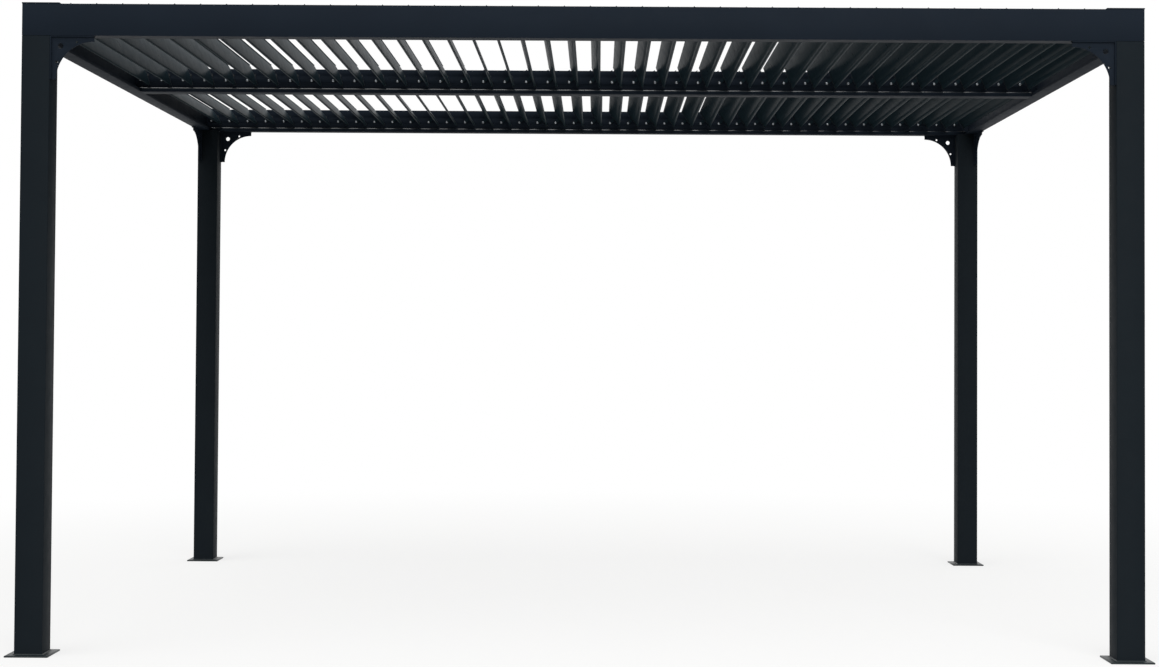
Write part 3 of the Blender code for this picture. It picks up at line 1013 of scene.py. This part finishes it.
@dataclass
class Brackets:
    """The curved corner brackets, one along each beam at each post."""

    finishes: Finishes
    arm: float = 156.0 * MM
    tab: float = 20.0 * MM
    arc_steps: int = 32
    web: float = 5.0 * MM
    web_edge: float = 0.5 * MM
    flange: float = 20.0 * MM
    flange_thickness: float = 4.0 * MM
    flange_edge: float = 0.7 * MM
    # the web's middle lies this far behind the beams' outer faces
    behind: float = 11.0 * MM
    outside: tuple[float, float] = (2000.0 * MM, 1500.0 * MM)
    # inner faces of the posts and underside of the beams, less the fit between them
    seat: tuple[float, float, float] = (1899.7 * MM, 1399.7 * MM, 2204.7 * MM)
    # each hole: out from the post, down from the beam, radius
    holes: tuple[tuple[float, float, float], ...] = (
        (36.0 * MM, 36.0 * MM, 10.0 * MM),
        (94.0 * MM, 22.0 * MM, 4.6 * MM),
        (22.0 * MM, 94.0 * MM, 4.6 * MM),
    )
    hole_sides: int = 24
    screws_at: tuple[float, ...] = (58.0 * MM, 132.0 * MM)
    screw_aside: float = 6.3 * MM
    pan_head: PanHead = PanHead()

    def web_outline(self) -> list[Vector]:
        """Give the web's outline: X out from the post, Y up, with a quarter arc between the tabs."""
        radius = self.arm - self.tab
        points = [Vector((0, 0)), Vector((0, -self.arm)), Vector((self.tab, -self.arm))]
        for step in range(1, self.arc_steps):
            angle = math.pi / 2 * step / self.arc_steps
            points.append(
                Vector((self.arm - radius * math.cos(angle), -self.arm + radius * math.sin(angle)))
            )
        return points + [Vector((self.arm, -self.tab)), Vector((self.arm, 0))]

    def cut_web(self) -> bpy.types.Object:
        """Cut the web from sheet with its three round holes and softly broken edges."""
        clear_bench()
        sheet = bpy.data.curves.new("web", "CURVE")
        sheet.dimensions = "2D"
        sheet.fill_mode = "BOTH"
        sheet.bevel_depth = self.web_edge
        sheet.bevel_resolution = 1
        sheet.offset = -self.web_edge
        sheet.extrude = self.web / 2 - self.web_edge
        rims = [self.web_outline()]
        turns = [math.tau * step / self.hole_sides for step in range(self.hole_sides)]
        for out, down, radius in self.holes:
            rims.append(
                [Vector((out + radius * math.cos(a), -down - radius * math.sin(a))) for a in turns]
            )
        for rim in rims:
            line = sheet.splines.new("POLY")
            line.points.add(len(rim) - 1)
            for point, spot in zip(line.points, rim):
                point.co = (spot.x, spot.y, 0, 1)
            line.use_cyclic_u = True
        web = bpy.data.objects.new("web", sheet)
        bpy.context.scene.collection.objects.link(web)
        take(web)
        bpy.ops.object.convert(target="MESH")
        web = named("web", self.finishes.beam_coat)
        with editing(web, Pick.CORNERS):
            bpy.ops.mesh.select_all(action="SELECT")
            bpy.ops.mesh.remove_doubles(threshold=SLACK)
            bpy.ops.mesh.normals_make_consistent(inside=False)
        shade_smooth(web, PROFILE_DEG)
        return web

    def bend_flange(self) -> bpy.types.Object:
        """Fold the two flanges that lie on the post and under the beam."""
        half = self.flange / 2
        thick = self.flange_thickness
        fold = blank(
            "flanges", Vector((0, -self.arm, -half)), Vector((thick, 0, half)), self.finishes.beam_coat
        )
        with editing(fold, Pick.CORNERS):
            bpy.ops.mesh.select_all(action="SELECT")
            bpy.ops.mesh.bisect(plane_co=(0, -thick, 0), plane_no=(0, 1, 0))
        with editing(fold, Pick.FACES):
            pick_faces(fold, lambda c, n: n.x > FACING and c.y > -thick)
            bpy.ops.mesh.extrude_region_move(
                TRANSFORM_OT_translate={"value": (self.arm - thick, 0, 0)}
            )
        round_edges(fold, self.flange_edge)
        return fold

    def screw(self) -> bpy.types.Object:
        """Form one pan-head screw that faces -Y from the origin."""
        pan = self.pan_head
        head = bar_stock(
            "screw",
            pan.radius,
            Vector((0, 0, 0)),
            Vector((0, -pan.height, 0)),
            self.finishes.beam_coat,
            pan.sides,
        )
        with editing(head, Pick.FACES):
            pick_faces(head, lambda c, n: n.y < -FACING)
            bpy.ops.mesh.inset(thickness=pan.rim, depth=-pan.crown)
            bpy.ops.mesh.inset(thickness=pan.rim, depth=0.0)
            bpy.ops.transform.translate(value=(0, pan.recess_depth, 0))
        shade_smooth(head, PROFILE_DEG)
        return head

    def fit_screws(self) -> list[bpy.types.Object]:
        """Drive two screws through each half of both flanges."""
        pattern = self.screw()
        driven = []
        for reach in self.screws_at:
            for aside in (-self.screw_aside, self.screw_aside):
                under = Matrix.Translation((reach, -self.flange_thickness, aside))
                beside = Matrix.Translation((self.flange_thickness, -reach, aside))
                facing = beside @ Matrix.Rotation(math.pi / 2, 4, "Z")
                driven += [copy_to(pattern, "screw", under), copy_to(pattern, "screw", facing)]
        bpy.data.objects.remove(pattern)
        return driven

    def build(self) -> None:
        """Make one bracket and fit a copy in every corner, each standing for its node."""
        pattern = join("bracket", [self.cut_web(), self.bend_flange(), *self.fit_screws()])
        # the pattern's X runs out from the post, its Y up, and its Z across the beam; both ways of
        # standing it up are for the front left corner, and the other corners mirror it
        long_way = Matrix(((1, 0, 0, 0), (0, 0, 1, 0), (0, 1, 0, 0), (0, 0, 0, 1)))
        side_way = Matrix(((0, 0, 1, 0), (1, 0, 0, 0), (0, 1, 0, 0), (0, 0, 0, 1)))
        wide, deep, high = self.seat
        web_x, web_y = (face - self.behind for face in self.outside)
        for end, y in (("front", -1), ("rear", 1)):
            for hand, x in (("left", -1), ("right", 1)):
                mirror = Matrix.Diagonal((-x, -y, 1, 1))
                spots = {
                    "long": (Vector((x * wide, y * web_y, high)), long_way),
                    "side": (Vector((x * web_x, y * deep, high)), side_way),
                }
                for kind, (spot, way) in spots.items():
                    node = f"{end}_{hand}_{kind}_bracket"
                    piece = copy_to(pattern, f"{node}_coated", Matrix.Translation(spot) @ mirror @ way)
                    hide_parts(node)
                    hand_over(piece, Body.FRAME.value)
        bpy.data.objects.remove(pattern)


@dataclass
class DriveBars:
    """The two flat bars that tie the cranks of each bay."""

    finishes: Finishes
    node: str = "front_drive_bar"
    edge: float = 0.6 * MM
    bay_depth: float = 1480.0 * MM

    def build(self) -> None:
        """Dress the front bar and hang its twin in the rear bay."""
        front = dressed_copy(self.node, f"{self.node}_coated", self.finishes.beam_coat, self.edge)
        rear = copy_to(front, "rear_drive_bar_coated", Matrix.Translation((0, self.bay_depth, 0)))
        for bar in (front, rear):
            hand_over(bar, Body.DRIVE_BARS.value)


# ---------------------------------------------------------------- studio


@dataclass
class Studio:
    """A plain pale floor, soft lights and the camera of the photograph."""

    backdrop: str = "#FFFFFF"
    floor_side: float = 240.0
    floor_colour: str = "#FAFAF8"
    # the floor lights the pergola from below like paving, darker than the camera sees it
    floor_bounce: str = "#A4A6A0"
    floor_roughness: float = 0.9
    floor_fade: tuple[float, float] = (2.6, 6.5)
    floor_lift: float = 0.7
    sky_fill: float = 0.55
    sun_side: tuple[float, float, float] = (-0.25, -0.35, 1.0)
    sun_level: float = 0.9
    sun_softness_deg: float = 40.0
    lamp_place: tuple[float, float, float] = (3.0, -12.0, 6.0)
    lamp_aim: tuple[float, float, float] = (0.0, 0.0, 1.2)
    lamp_side: float = 8.0
    lamp_watts: float = 700.0
    # the camera that was fitted to the photograph
    camera_place: tuple[float, float, float] = (0.062, -8.055, 1.113)
    camera_turn_deg: tuple[float, float, float] = (91.34647, -0.32650, 0.10692)
    sensor_mm: float = 36.0
    lens_mm: float = 57.37
    shift: tuple[float, float] = (-0.01346, -0.0276)
    sight: float = 300.0

    def seen_directly(self, tree: bpy.types.NodeTree) -> bpy.types.NodeSocket:
        """Give 1 for what the camera, gloss and glass show, and 0 for what only gives light."""
        path = add_node(tree, "ShaderNodeLightPath")
        seen = add_node(
            tree,
            "ShaderNodeMath",
            {"operation": "MAXIMUM"},
            {0: path.outputs["Is Camera Ray"], 1: path.outputs["Is Glossy Ray"]},
        )
        clear = add_node(
            tree,
            "ShaderNodeMath",
            {"operation": "MAXIMUM"},
            {0: seen.outputs[0], 1: path.outputs["Is Transmission Ray"]},
        )
        return clear.outputs[0]

    def lay_floor(self) -> None:
        """Lay the pale floor, which keeps the pergola's shadow and throws back as much light as paving."""
        material, tree = empty_material("matt_floor")
        seen = self.seen_directly(tree)
        paint = add_node(
            tree,
            "ShaderNodeBsdfPrincipled",
            inputs={
                "Base Color": blend(tree, seen, self.floor_bounce, self.floor_colour),
                "Roughness": self.floor_roughness,
                "Specular IOR Level": 0.0,
            },
        )
        # away from the pergola the floor runs out into the white backdrop
        place = add_node(tree, "ShaderNodeTexCoord").outputs["Object"]
        away = add_node(tree, "ShaderNodeVectorMath", {"operation": "LENGTH"}, {0: place})
        fade = spread(tree, away.outputs["Value"], (self.floor_lift, 1.0), self.floor_fade, "SMOOTHSTEP")
        share = add_node(tree, "ShaderNodeMath", {"operation": "MULTIPLY"}, {0: fade, 1: seen})
        glow = add_node(
            tree, "ShaderNodeEmission", inputs={"Color": to_linear(self.backdrop), "Strength": 1.0}
        )
        mixed = add_node(
            tree,
            "ShaderNodeMixShader",
            inputs={0: share.outputs[0], 1: paint.outputs["BSDF"], 2: glow.outputs["Emission"]},
        )
        add_node(tree, "ShaderNodeOutputMaterial", inputs={"Surface": mixed.outputs["Shader"]})
        clear_bench()
        bpy.ops.mesh.primitive_plane_add(size=self.floor_side, location=(0, 0, 0))
        named("floor", material)

    def hang_sky(self) -> None:
        """Light from all round, and show white to the camera and to gloss."""
        world = bpy.data.worlds.new("studio")
        bpy.context.scene.world = world
        world.use_nodes = True
        tree = world.node_tree
        tree.nodes.clear()
        level = spread(tree, self.seen_directly(tree), (self.sky_fill, 1.0))
        sky = add_node(
            tree,
            "ShaderNodeBackground",
            inputs={"Color": to_linear(self.backdrop), "Strength": level},
        )
        add_node(tree, "ShaderNodeOutputWorld", inputs={"Surface": sky.outputs["Background"]})

    def hang_lamp(self) -> None:
        """Hang one square soft box in front of the pergola."""
        place = Vector(self.lamp_place)
        lamp = bpy.data.lights.new("front_light", "AREA")
        lamp.shape = "SQUARE"
        lamp.size = self.lamp_side
        lamp.energy = self.lamp_watts
        holder = bpy.data.objects.new("front_light", lamp)
        holder.location = place
        holder.rotation_euler = (Vector(self.lamp_aim) - place).to_track_quat("-Z", "Y").to_euler()
        bpy.context.scene.collection.objects.link(holder)

    def hang_sun(self) -> None:
        """Light evenly from one side, as far as the floor goes, with soft shadows."""
        lamp = bpy.data.lights.new("sun", "SUN")
        lamp.energy = self.sun_level
        lamp.angle = math.radians(self.sun_softness_deg)
        holder = bpy.data.objects.new("sun", lamp)
        holder.rotation_euler = Vector(self.sun_side).to_track_quat("Z", "Y").to_euler()
        bpy.context.scene.collection.objects.link(holder)

    def set_camera(self) -> None:
        """Put the camera where the photograph was taken from."""
        camera = bpy.data.cameras.new("camera")
        camera.sensor_fit = "HORIZONTAL"
        camera.sensor_width = self.sensor_mm
        camera.lens = self.lens_mm
        camera.shift_x, camera.shift_y = self.shift
        camera.clip_end = self.sight
        holder = bpy.data.objects.new("camera", camera)
        holder.location = self.camera_place
        holder.rotation_euler = [math.radians(a) for a in self.camera_turn_deg]
        bpy.context.scene.collection.objects.link(holder)
        bpy.context.scene.camera = holder

    def build(self) -> None:
        """Set up the whole studio."""
        self.lay_floor()
        self.hang_sky()
        self.hang_sun()
        self.hang_lamp()
        self.set_camera()
        bpy.context.scene.view_settings.view_transform = "Standard"


def main() -> None:
    """Build the pergola's looks on its frame."""
    logging.basicConfig(level=logging.INFO, format="%(message)s")
    Studio().build()
    finishes = Finishes.mix()
    Beams(finishes).build()
    Posts(finishes).build()
    Brackets(finishes).build()
    DriveBars(finishes).build()
    Louvre(finishes).build()
    clear_bench()


if __name__ == "__main__":
    main()
